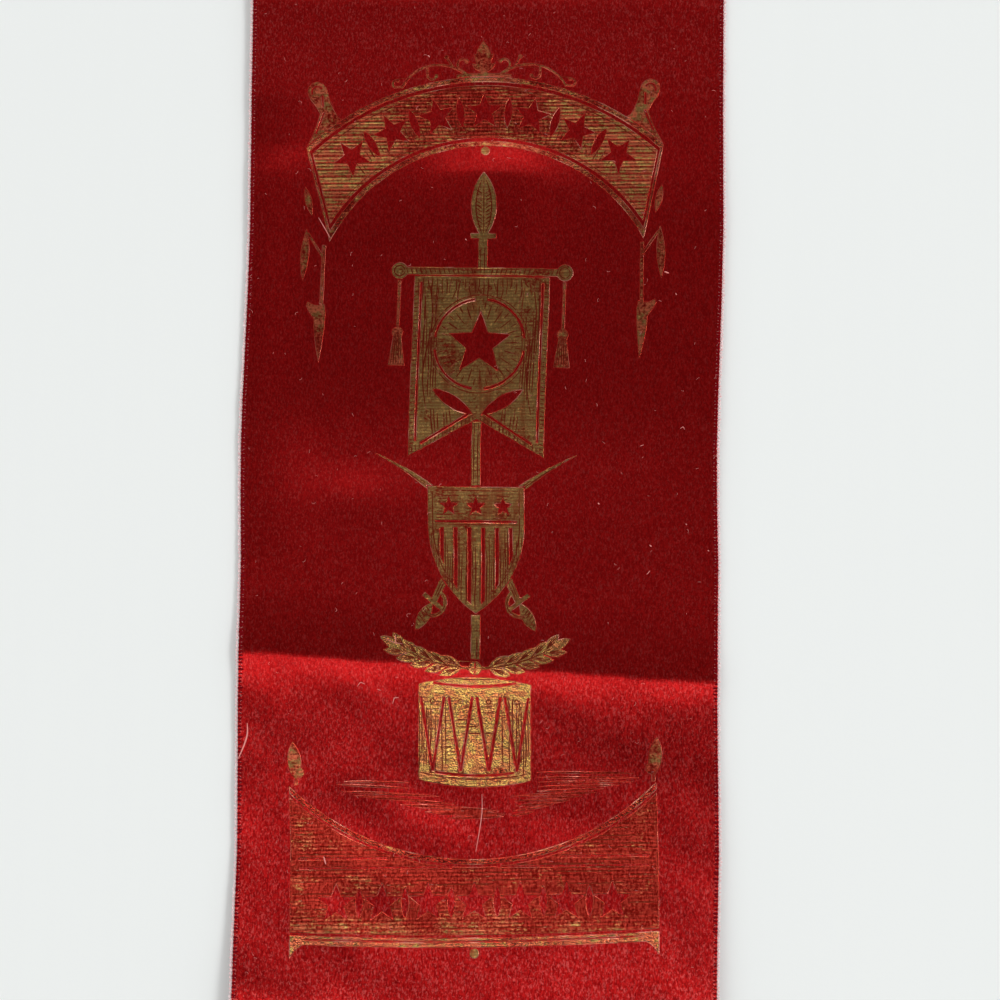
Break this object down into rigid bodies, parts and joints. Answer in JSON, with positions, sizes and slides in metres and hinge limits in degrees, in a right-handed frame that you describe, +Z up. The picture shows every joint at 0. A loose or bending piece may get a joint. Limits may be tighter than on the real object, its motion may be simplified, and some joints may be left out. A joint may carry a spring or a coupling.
{
  "type": "veterans ribbon badge",
  "caption": "Red silk-satin ribbon badge lying face up, with a folded hem, a straight pin and a gold leaf design of arch, trophy of arms and tablet.",
  "frame": {"origin": "centre of the badge's outline, on the surface that it lies on", "axes": "+Z up out of the printed face, +Y along the ribbon towards the hem and pin, +X across the ribbon to the viewer's right, where the pin's point is"},
  "size_m": [0.076, 0.178, 0.0033],
  "materials": {
    "silk": "woven red silk satin with a soft sheen, looped selvedges and lint",
    "pin_brass": "aged polished brass",
    "leaf_gold": "stamped gold leaf, tarnished",
    "worn_gold": "stamped gold leaf, rubbed thin over red silk"
  },
  "bodies": {
    "root": {"ribbon_hem": "silk", "ribbon_upper": "silk", "ribbon_middle": "silk", "ribbon_lower": "silk", "ribbon_end": "silk", "pin": "pin_brass", "arch_border": "leaf_gold", "arch_field": "leaf_gold", "arch_drop": "leaf_gold", "finial_left": "leaf_gold", "finial_right": "leaf_gold", "staff": "leaf_gold", "banner": "leaf_gold", "shield": "leaf_gold", "sabre_left": "leaf_gold", "sabre_right": "leaf_gold", "drum": "leaf_gold", "tablet_border": "leaf_gold", "arch_crest": "worn_gold", "husks_left": "worn_gold", "husks_right": "worn_gold", "tassel_left": "worn_gold", "tassel_right": "worn_gold", "laurel_left": "worn_gold", "laurel_right": "worn_gold", "ground": "worn_gold", "tablet_field": "worn_gold", "tablet_bud_left": "worn_gold", "tablet_bud_right": "worn_gold", "tablet_drop": "worn_gold"}
  },
  "joints": []
}
